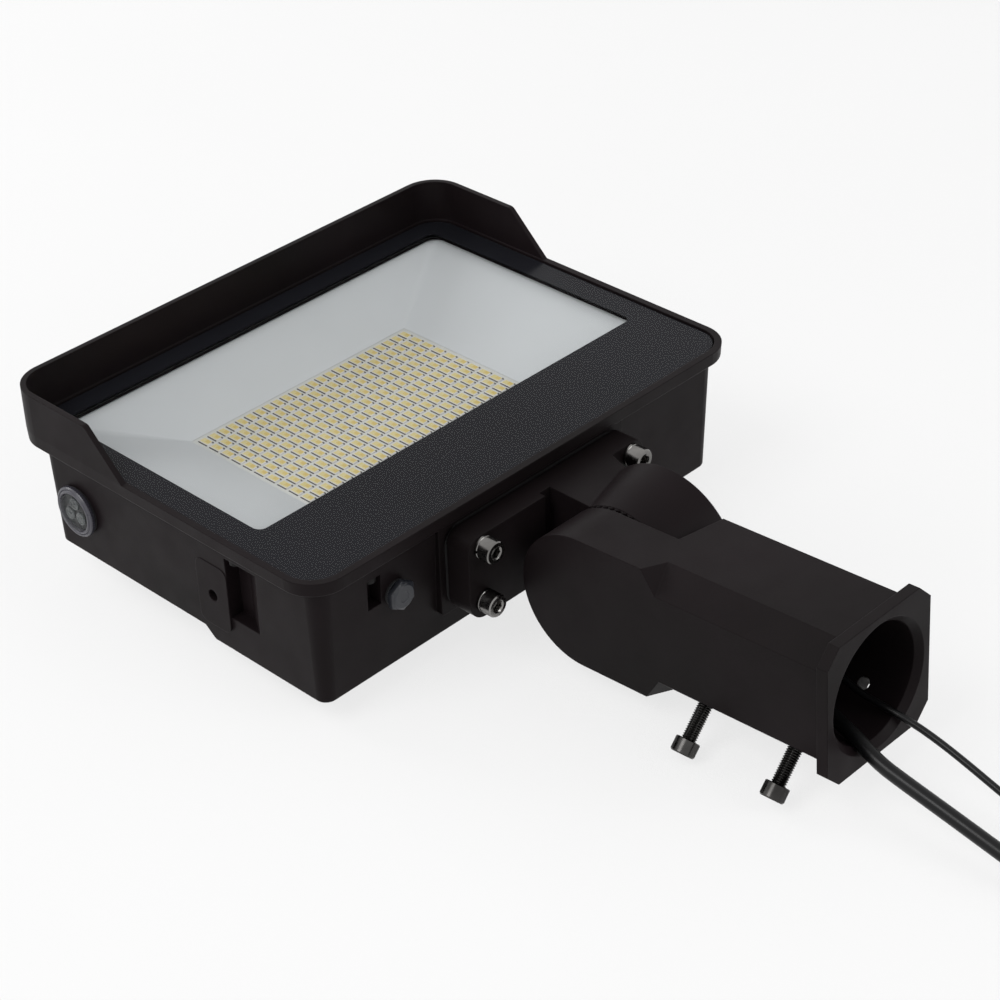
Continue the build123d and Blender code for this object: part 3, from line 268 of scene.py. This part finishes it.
def add_stage():
    """Pale floor, mostly see-through to the eye, so that a head tilted below it still shows."""
    m = Nodes("pale_floor")
    pale = m.ramp(m.noise(3.0, 3.0), (0.88, 0.88, 0.88, 1), (0.92, 0.92, 0.92, 1))
    m.link(pale, m.shader.inputs["Base Color"])
    m.set(Roughness=0.8)
    clear = m.node("BsdfTransparent")
    share = m.node("Math", operation="MULTIPLY")
    m.link(seen_directly(m.tree), share.inputs[0])
    share.inputs[1].default_value = FLOOR_CLEAR
    mix = m.node("MixShader")
    m.link(share.outputs[0], mix.inputs[0])
    m.link(m.shader.outputs[0], mix.inputs[1])
    m.link(clear.outputs[0], mix.inputs[2])
    m.link(mix.outputs[0], m.output.inputs["Surface"])
    mesh = bpy.data.meshes.new("floor")
    corners = [(x * FLOOR_HALF, y * FLOOR_HALF, FLOOR_Z) for x, y in ((-1, -1), (1, -1), (1, 1), (-1, 1))]
    mesh.from_pydata(corners, [], [(0, 1, 2, 3)])
    mesh.materials.append(m.material)
    floor = bpy.data.objects.new("floor", mesh)
    bpy.context.scene.collection.objects.link(floor)
    floor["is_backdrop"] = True


def add_world():
    """White world that is fully bright only where it is seen."""
    world = bpy.data.worlds.new("studio")
    bpy.context.scene.world = world
    world.use_nodes = True
    tree = world.node_tree
    lit = tree.nodes["Background"]
    seen = tree.nodes.new("ShaderNodeBackground")
    for background, level in ((lit, WORLD_LEVEL), (seen, 1.0)):
        background.inputs["Color"].default_value = (1, 1, 1, 1)
        background.inputs["Strength"].default_value = level
    mix = tree.nodes.new("ShaderNodeMixShader")
    tree.links.new(seen_directly(tree), mix.inputs[0])
    tree.links.new(lit.outputs[0], mix.inputs[1])
    tree.links.new(seen.outputs[0], mix.inputs[2])
    tree.links.new(mix.outputs[0], tree.nodes["World Output"].inputs["Surface"])


def add_lamp(name, place, target, size, power):
    data = bpy.data.lights.new(name, "AREA")
    data.shape = "RECTANGLE"
    data.size, data.size_y = size
    data.energy = power
    lamp = bpy.data.objects.new(name, data)
    place, target = Vector(place), Vector(target)
    turn = (target - place).to_track_quat("-Z", "Y").to_matrix().to_4x4()
    lamp.matrix_world = Matrix.Translation(place) @ turn
    bpy.context.scene.collection.objects.link(lamp)


add_stage()
add_world()
add_lamp("key", (-1.6, 0.4, 1.9), (0, 0.25, 0), (1.2, 1.2), 22)
add_lamp("fill", (0.6, -1.8, 1.4), (0, 0.2, 0), (1.4, 1.0), 13)
add_lamp("rim", (-0.4, 2.2, 1.0), (0, 0.3, 0), (1.0, 0.7), 14)


# Pieces and cords

def add_piece(name, mesh, body, material):
    """Puts a mesh on a body; material is None where the mesh has its own."""
    piece = bpy.data.objects.new(name, mesh)
    bpy.context.scene.collection.objects.link(piece)
    if material:
        mesh.materials.append(material)
    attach(piece, body)
    return piece


# Cords: diameters in metres, then the gap between turns of a coil and the routes in millimetres
POWER_D, DIMMING_D = 0.0078, 0.0038
COIL_GAP = 0.7
power_route = [
    (7.0, 90.9, -5.0), (7.0, 76.0, -4.2), (5.4, 61.5, -7.9), (2.0, 48.0, -15.0),
    (-3.0, 34.5, -21.0), (-8.2, 20.0, -24.0), (-11.2, 5.0, -25.6), (-15.3, -12.5, -30.4),
    (-15.4, -31.0, -34.2), (-15.1, -51.0, -38.4), (-14.8, -72.0, -43.0), (-14.5, -94.0, -47.8),
    (-14.2, -117.0, -52.0), (-14.5, -141.0, -54.9), (-15.1, -163.0, -56.0), (-16.2, -184.0, -56.1),
    (-16.6, -204.0, -56.1), (-16.6, -222.0, -56.1),
]
dimming_route = [
    (18.0, 90.9, -5.0), (18.0, 76.0, -4.2), (17.6, 61.5, -7.8), (16.4, 47.5, -14.0),
    (15.0, 33.5, -20.2), (15.2, 19.0, -24.3), (15.9, 4.5, -25.6), (18.6, -10.5, -29.4),
    (19.5, -26.0, -33.6), (19.2, -42.0, -37.9), (18.8, -58.0, -42.6), (18.4, -74.0, -47.1),
    (18.2, -90.0, -51.2), (18.0, -106.0, -54.8), (17.6, -122.0, -57.3), (17.5, -137.0, -58.1),
    (17.5, -149.0, -58.1),
]


def coil_turns(start, diameter, radius, reversals, turns, per_turn=16):
    """Control points of the put-away coil: in and out at a steady rate, a layer up at each reversal."""
    pitch = diameter + COIL_GAP
    span = turns / (reversals + 1)
    entry = Vector(start) - Vector((0, diameter, 0))
    centre = entry + Vector((radius, 0, 0))

    def at(phi):
        stage = min(int(phi / span), reversals)
        part = phi / span - stage
        inward = part if stage % 2 == 0 else 1 - part
        r = (radius - pitch * span * inward) / math.cos(math.pi / per_turn) ** 0.5
        height = 0.0
        for level in range(1, reversals + 1):
            climb = min(max((phi - level * span) * 2 + 0.5, 0), 1)
            height += pitch * (1 - math.cos(math.pi * climb)) / 2
        angle = math.pi + 2 * math.pi * phi
        return centre + Vector((r * math.cos(angle), r * math.sin(angle), height))

    count = round(turns * per_turn)
    points = [entry] + [at(turns * i / count) for i in range(1, count + 1)]
    way = (at(turns) - at(turns - 0.002)).normalized()
    points.append(points[-1] + way * diameter)
    return points, way


def add_cord(name, route, diameter, radius, reversals, turns, nodes):
    """Smooth cord along its route and round its coil; also gives its far end and the way it points."""
    coil, way = coil_turns(route[-1], diameter / MM, radius, reversals, turns)
    points = [Vector(p) for p in route] + coil
    curve = bpy.data.curves.new(name, "CURVE")
    curve.dimensions = "3D"
    curve.bevel_depth = diameter / 2
    curve.bevel_resolution = 6
    curve.use_fill_caps = True
    spline = curve.splines.new("NURBS")
    spline.points.add(len(points) - 1)
    for control, point in zip(spline.points, points):
        control.co = (point.x * MM, point.y * MM, point.z * MM, 1.0)
    spline.order_u = 3
    spline.use_endpoint_u = True
    spline.resolution_u = 6
    curve.materials.append(jacket)
    cord = bpy.data.objects.new(name, curve)
    bpy.context.scene.collection.objects.link(cord)
    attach(cord, "arm")
    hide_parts(*nodes)
    return cord, points[-1], way


power, power_end, power_way = add_cord(
    "power_flex", power_route, POWER_D, 47.0, 1, 2.125, ["power_cord", "power_cord_coil"])
dimming, dimming_end, dimming_way = add_cord(
    "dimming_flex", dimming_route, DIMMING_D, 22.5, 3, 5.25, ["dimming_cord", "dimming_cord_coil"])


# Black printed border of the glass, in millimetres from the middle of the face

def rounded_outline(x0, x1, y0, y1, r, steps=8):
    points = []
    corners = ((x1 - r, y1 - r, 0), (x0 + r, y1 - r, 90), (x0 + r, y0 + r, 180), (x1 - r, y0 + r, 270))
    for cx, cy, start in corners:
        for i in range(steps + 1):
            a = math.radians(start + 90 * i / steps)
            points.append((cx + r * math.cos(a), cy + r * math.sin(a)))
    return points


def ring_mesh(name, outer, inner, top, bottom):
    """Flat ring between two outlines of the same count, with its faces at depths under the rim."""
    n = len(outer)
    verts = []
    for outline, depth in ((outer, top), (inner, top), (outer, bottom), (inner, bottom)):
        verts += [(x * MM, FACE_Y + y * MM, RIM_Z - depth * MM) for x, y in outline]
    faces = []
    for i in range(n):
        j = (i + 1) % n
        faces += [(i, j, n + j, n + i), (2 * n + j, 2 * n + i, 3 * n + i, 3 * n + j),
                  (j, i, 2 * n + i, 2 * n + j), (n + i, n + j, 3 * n + j, 3 * n + i)]
    mesh = bpy.data.meshes.new(name)
    mesh.from_pydata(verts, [], faces)
    mesh.update()
    return mesh


PANE_X, PANE_Y, PANE_R = 156.6, 114.0, 16.0
WINDOW_X, WINDOW_Y0, WINDOW_Y1, WINDOW_R = 141.0, -58.4, 100.7, 5.0
PRINT_TOP, PRINT_BOTTOM = 1.05, 1.25
outer = rounded_outline(-PANE_X, PANE_X, -PANE_Y, PANE_Y, PANE_R)
inner = rounded_outline(-WINDOW_X, WINDOW_X, WINDOW_Y0, WINDOW_Y1, WINDOW_R)
border = ring_mesh("glass_print", outer, inner, PRINT_TOP, PRINT_BOTTOM)
add_piece("glass_print", border, "head", print_black)


# Turned pieces, in millimetres along their own axes

def local_frame(origin, out, side):
    """Matrix of a frame with its z along out and its x near side."""
    z = Vector(out).normalized()
    y = z.cross(Vector(side)).normalized()
    x = y.cross(z)
    o = Vector(origin)
    return Matrix(((x.x, y.x, z.x, o.x), (x.y, y.y, z.y, o.y), (x.z, y.z, z.z, o.z), (0, 0, 0, 1)))


def round_ring(r, z, count, knurl=0.0):
    """Ring of points in millimetres, every second one further in by the knurl."""
    points = []
    for i in range(count):
        a = 2 * math.pi * i / count
        points.append(((r - knurl * (i % 2)) * math.cos(a), (r - knurl * (i % 2)) * math.sin(a), z))
    return points


def hex_ring(across, z, count):
    points = []
    for i in range(count):
        a = 2 * math.pi * i / count
        r = across / 2 / math.cos((a + math.pi / 6) % (math.pi / 3) - math.pi / 6)
        points.append((r * math.cos(a), r * math.sin(a), z))
    return points


def skin(built, rings, place, material_index=0):
    """Closed shell over rings of points, its first and last ring capped."""
    loops = []
    for ring in rings:
        loops.append([built.verts.new(place @ Vector([c * MM for c in point])) for point in ring])
    n = len(loops[0])
    faces = []
    for a, b in zip(loops, loops[1:]):
        faces += [built.faces.new((a[i], a[(i + 1) % n], b[(i + 1) % n], b[i])) for i in range(n)]
    faces += [built.faces.new(loops[0][::-1]), built.faces.new(loops[-1])]
    for face in faces:
        face.material_index = material_index


def turned(built, profile, place, count, material_index=0):
    """Turned solid from a profile of radius, height and, on a ribbed rim, the depth of the ribs."""
    skin(built, [round_ring(r, z, count, *ribs) for r, z, *ribs in profile], place, material_index)


def finish_mesh(built, name, sharp=35):
    """Mesh of what was built, smooth but for edges sharper than an angle in degrees."""
    bmesh.ops.recalc_face_normals(built, faces=built.faces)
    mesh = bpy.data.meshes.new(name)
    built.to_mesh(mesh)
    built.free()
    mesh.shade_smooth()
    mesh.set_sharp_from_angle(angle=math.radians(sharp))
    return mesh


# M8 socket screws
HEAD_R, HEAD_H, KEY = 6.5, 8.0, 6.0
SHANK_R, THREAD_PITCH, THREAD_DEPTH, SHANK_LENGTH = 4.0, 1.25, 0.72, 35.0
RING_POINTS = 96


def screw_head(built, place):
    """Knurled socket head, standing on z = 0, with a chamfered rim and a hexagonal socket."""
    n = RING_POINTS
    skin(built, [
        round_ring(6.0, 0.0, n), round_ring(6.4, 0.35, n), round_ring(HEAD_R, 0.8, n, 0.22),
        round_ring(HEAD_R, 6.9, n, 0.22), round_ring(6.4, 7.3, n), round_ring(5.9, HEAD_H, n),
        round_ring(3.9, HEAD_H, n), round_ring(3.55, 7.7, n), hex_ring(KEY, 7.3, n), hex_ring(KEY, 3.9, n),
        round_ring(0.6, 2.9, n)], place)


def threaded_shank(built, place, count=32):
    """Shank with a helical thread from the head down to a chamfered tip."""
    rings = []
    steps = round(SHANK_LENGTH / THREAD_PITCH * 6)
    for k in range(steps + 1):
        z = -SHANK_LENGTH + SHANK_LENGTH * k / steps
        tip = min(1.0, (z + SHANK_LENGTH) / 1.2)
        ring = []
        for i in range(count):
            turn = (z / THREAD_PITCH - i / count) % 1.0
            groove = max(0.0, 1 - abs(turn - 0.5) / 0.42)
            radius = (SHANK_R - THREAD_DEPTH * groove) * (0.78 + 0.22 * tip)
            a = 2 * math.pi * i / count
            ring.append((radius * math.cos(a), radius * math.sin(a), z))
        rings.append(ring)
    skin(built, rings, place)


# Clamp screws: direction of the arm, and each screw's place along it and its turn
ARM_TILT = math.radians(3.16)
ALONG = Vector((0, -math.cos(ARM_TILT), math.sin(ARM_TILT)))
ACROSS = Vector((0, math.sin(ARM_TILT), math.cos(ARM_TILT)))
SCREW_OUT = Vector((-1, 0, 0)) * math.sin(math.pi / 4) - ACROSS * math.cos(math.pi / 4)
CLAMP_SEAT = 63.1
for end, s, turn in (("inner", 77.9, 0.2), ("outer", 134.2, 0.7)):
    built = bmesh.new()
    seat = PIVOT + ALONG * s * MM + SCREW_OUT * CLAMP_SEAT * MM
    place = local_frame(seat, SCREW_OUT, ALONG + SCREW_OUT.cross(ALONG) * turn)
    screw_head(built, place)
    threaded_shank(built, place)
    mesh = finish_mesh(built, "clamp_" + end)
    clamp = add_piece("clamp_screw_%s_cut" % end, mesh, "clamp_" + end, zinc)
    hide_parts("clamp_screw_" + end)

# Bracket screws with split washers, at the corners of the plate
low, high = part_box("bracket_screws")
seat_y = low[1] + HEAD_H * MM
spots = [(x, z) for x in (low[0] + HEAD_R * MM, high[0] - HEAD_R * MM)
         for z in (low[2] + HEAD_R * MM, high[2] - HEAD_R * MM)]
built = bmesh.new()
for number, (x, z) in enumerate(spots):
    a = number * 1.3
    place = local_frame((x, seat_y, z), (0, -1, 0), (math.cos(a), 0, math.sin(a)))
    screw_head(built, place)
    turned(built, ((3.2, -SHANK_LENGTH), (SHANK_R, 0.8 - SHANK_LENGTH), (SHANK_R, 0.2)), place, 32)
screws = add_piece("bracket_screws_cut", finish_mesh(built, "bracket_screws_cut"), "head", chrome)
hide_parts("bracket_screws")

# Split washers: section as radius and height, and the turn of it in degrees
WASHER = [(4.1, -1.95), (4.1, -0.05), (4.4, 0.0), (6.1, 0.0),
          (6.4, -0.3), (6.4, -1.7), (6.1, -2.0), (4.4, -2.0)]
WASHER_START, WASHER_TURN, WASHER_STEPS = 8, 344, 44
built = bmesh.new()
for number, (x, z) in enumerate(spots):
    a = number * 2.1 + 1
    place = local_frame((x, seat_y, z), (0, -1, 0), (math.cos(a), 0, math.sin(a)))
    rings = []
    for k in range(WASHER_STEPS + 1):
        a = math.radians(WASHER_START + WASHER_TURN * k / WASHER_STEPS)
        rings.append([(r * math.cos(a), r * math.sin(a), z0) for r, z0 in WASHER])
    skin(built, rings, place)
mesh = finish_mesh(built, "bracket_washers_cut")
washers = add_piece("bracket_washers_cut", mesh, "head", chrome)
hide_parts("bracket_washers")

# Light sensor: knurled ring, dark cup with three round cells, and a clear domed window
RING = ((10.2, -27.2), (10.2, -3.2), (14.6, -3.2), (15.0, -2.9, 0.45), (15.0, -1.3, 0.45),
        (14.3, -0.7), (13.6, -0.5), (13.2, -0.9), (12.8, -0.4), (12.3, 0.0), (11.5, -0.1),
        (11.2, -0.7), (11.0, -2.4))
CUP = ((10.9, -2.4), (10.9, -2.0), (10.4, -1.9))
CELL = ((3.7, -1.95), (3.7, -1.0), (3.4, -0.8), (2.6, -0.8), (2.4, -1.1), (1.0, -1.1),
        (0.8, -0.7), (0.5, -0.7))
DOME = ((10.9, -0.5), (10.9, 0.1), (10.4, 0.7), (9.0, 1.25), (6.5, 1.65), (3.5, 1.9), (0.5, 1.98))
CELLS, CELL_RING_R = 3, 5.2
low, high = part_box("sensor_body")
sensor = local_frame((low[0], (low[1] + high[1]) / 2, (low[2] + high[2]) / 2), (-1, 0, 0), (0, -1, 0))
built = bmesh.new()
turned(built, RING, sensor, 120)
ring = add_piece("sensor_ring", finish_mesh(built, "sensor_ring"), "head", ring_grey)
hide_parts("sensor_body")

built = bmesh.new()
turned(built, CUP, sensor, 64)
for number in range(CELLS):
    a = math.radians(90 + 360 / CELLS * number)
    shift = Matrix.Translation((CELL_RING_R * MM * math.cos(a), CELL_RING_R * MM * math.sin(a), 0))
    turned(built, CELL, sensor @ shift, 32, 1)
mesh = finish_mesh(built, "sensor_cells")
for material in (cell_dark, cell_chip):
    mesh.materials.append(material)
add_piece("sensor_cells", mesh, "head", None)

built = bmesh.new()
turned(built, DOME, sensor, 64)
mesh = finish_mesh(built, "sensor_window", 60)
window = add_piece("sensor_window", mesh, "head", lens_clear)
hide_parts("sensor_lens")

# Vent plug: flanged hexagon with chamfered corners and a slotted ring behind it
low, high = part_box("vent_plug")
vent = local_frame(((low[0] + high[0]) / 2, low[1], (low[2] + high[2]) / 2), (0, -1, 0), (1, 0, 0))
built = bmesh.new()
n = RING_POINTS
flat = (high[2] - low[2]) / MM
skin(built, [round_ring(6.0, -17.5, n), round_ring(6.0, -5.5, n), round_ring(7.5, -5.5, n),
             round_ring(7.6, -5.2, n, 0.5), round_ring(7.6, -4.4, n, 0.5), hex_ring(flat - 0.8, -4.3, n),
             hex_ring(flat, -3.9, n), hex_ring(flat, -1.7, n), hex_ring(flat - 0.5, -1.25, n),
             round_ring(7.2, -0.9, n), round_ring(6.9, -0.35, n), round_ring(6.3, 0.0, n),
             round_ring(3.2, 0.0, n), round_ring(3.0, -0.25, n), round_ring(0.5, -0.25, n)], vent)
plug = add_piece("vent_plug_cut", finish_mesh(built, "vent_plug_cut", 30), "head", grey)
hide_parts("vent_plug")

# Tapered strain reliefs, ribbed between their ends, where the cords leave the grommet
RELIEF_START, RELIEF_FLARE, RELIEF_WALL, RIBS, RIB_DEPTH = 62.4, 2.6, 0.35, 10, 0.5
for name, x, cord_r, length in (("power_relief", 7.0, 3.9, 22.0), ("dimming_relief", 18.0, 1.9, 14.0)):
    built = bmesh.new()
    place = local_frame(PIVOT + Vector((x * MM, 0, 0)) + ALONG * RELIEF_START * MM, ALONG, (1, 0, 0))
    profile = []
    step = length / RIBS
    for k in range(RIBS):
        z = length * k / RIBS
        r = cord_r + RELIEF_FLARE * (1 - z / length) ** 1.2 + RELIEF_WALL
        groove_r = r - RIB_DEPTH * (0 < k < RIBS - 1)
        profile += [(r, z), (r, z + step * 0.6), (groove_r, z + step * 0.7), (groove_r, z + step * 0.95)]
    turned(built, profile, place, 40)
    add_piece(name, finish_mesh(built, name), "arm", rubber)


# Stripped leads at the far end of each cord
LEAD, BARE = 21.5, 8.0
LEAD_IN_JACKET, TIP_IN_LEAD = 2.0, 0.5
STRANDS, STRAND_TWIST = 7, 0.35


def add_leads(name, node, end, way, spacing, diameter, colours):
    """Leads around the cord's line: coloured insulation and a bare tip of twisted strands."""
    place = local_frame(end * MM, way, (0, 0, 1))
    built = bmesh.new()
    count = len(colours)
    r = diameter / 2
    steps, points = 16, 6 * STRANDS
    for number in range(count):
        a = 2 * math.pi * number / count
        spot = place @ Matrix.Translation((spacing * MM * math.cos(a), spacing * MM * math.sin(a), 0))
        turned(built, ((r, -LEAD_IN_JACKET), (r, LEAD - 0.15), (r - 0.15, LEAD)), spot, 24, number)
        tip = []
        for k in range(steps + 1):
            z = LEAD - TIP_IN_LEAD + (BARE + TIP_IN_LEAD) * k / steps
            ring = []
            for i in range(points):
                b = 2 * math.pi * i / points
                bare_r = r * (0.46 + 0.04 * math.cos(STRANDS * (b - z * STRAND_TWIST)))
                ring.append((bare_r * math.cos(b), bare_r * math.sin(b), z))
            tip.append(ring)
        skin(built, tip, spot, count)
    mesh = finish_mesh(built, name)
    for colour in colours + [copper]:
        mesh.materials.append(colour)
    leads = add_piece(name, mesh, "arm", None)
    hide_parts(node)
    return leads


power_ends = add_leads("power_lead_ends", "power_leads", power_end, power_way, 1.75, 2.8,
                       [lead_black, lead_white, lead_green])
dimming_ends = add_leads("dimming_lead_ends", "dimming_leads", dimming_end, dimming_way, 0.9, 1.4,
                         [lead_purple, lead_pink])


# Chips

def chip_block(built, x, y, depth, size, height, index, chamfer):
    """Low block on a board at a depth under the rim, given in millimetres from the middle of the face."""
    hx, hy = size[0] / 2, size[1] / 2
    rings = []
    for dx, z in ((0, 0), (0, height - chamfer), (chamfer, height)):
        rings.append([(x + sx * (hx - dx), FACE_Y / MM + y + sy * (hy - dx), RIM_Z / MM - depth + z)
                      for sx, sy in ((-1, -1), (1, -1), (1, 1), (-1, 1))])
    skin(built, rings, Matrix.Identity(4), index)


low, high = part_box("led_chips")
COLS, ROWS = 24, 10
CHIP_X, CHIP_Y = 4.6, 7.6
board_depth = (RIM_Z - low[2]) / MM
x0, x1 = low[0] / MM + CHIP_X / 2, high[0] / MM - CHIP_X / 2
y0, y1 = (low[1] - FACE_Y) / MM + CHIP_Y / 2, (high[1] - FACE_Y) / MM - CHIP_Y / 2
# Blocks of a chip, from its case to its two dark marks, a strip on the board along its −X side and a dot
# on its case: place, size, height, finish, chamfer
CHIP_BLOCKS = (
    (0, 0, (CHIP_X, CHIP_Y), 0.5, 0, 0.12),
    (0.12, 0.1, (3.7, 6.3), 0.62, 1, 0.1),
    (0.4, -1.2, (2.3, 2.9), 0.66, 2, 0.05),
    # Dark strip on the board along the chip's −X side
    (-CHIP_X / 2 - 0.28, -0.1, (0.62, 7.0), 0.42, 3, 0.05),
    (1.75, -3.45, (0.9, 1.0), 0.6, 3, 0.05),
)
built = bmesh.new()
for i in range(COLS):
    for j in range(ROWS):
        x, y = x0 + (x1 - x0) * i / (COLS - 1), y0 + (y1 - y0) * j / (ROWS - 1)
        for dx, dy, size, height, index, chamfer in CHIP_BLOCKS:
            chip_block(built, x + dx, y + dy, board_depth, size, height, index, chamfer)
mesh = finish_mesh(built, "chips")
for material in (ceramic, phosphor, phosphor_warm, chip_dark_marks):
    mesh.materials.append(material)
chips = add_piece("chip_array", mesh, "head", None)
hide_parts("led_chips")

# Box of the plain pieces and the finished ones together, in metres
low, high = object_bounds()
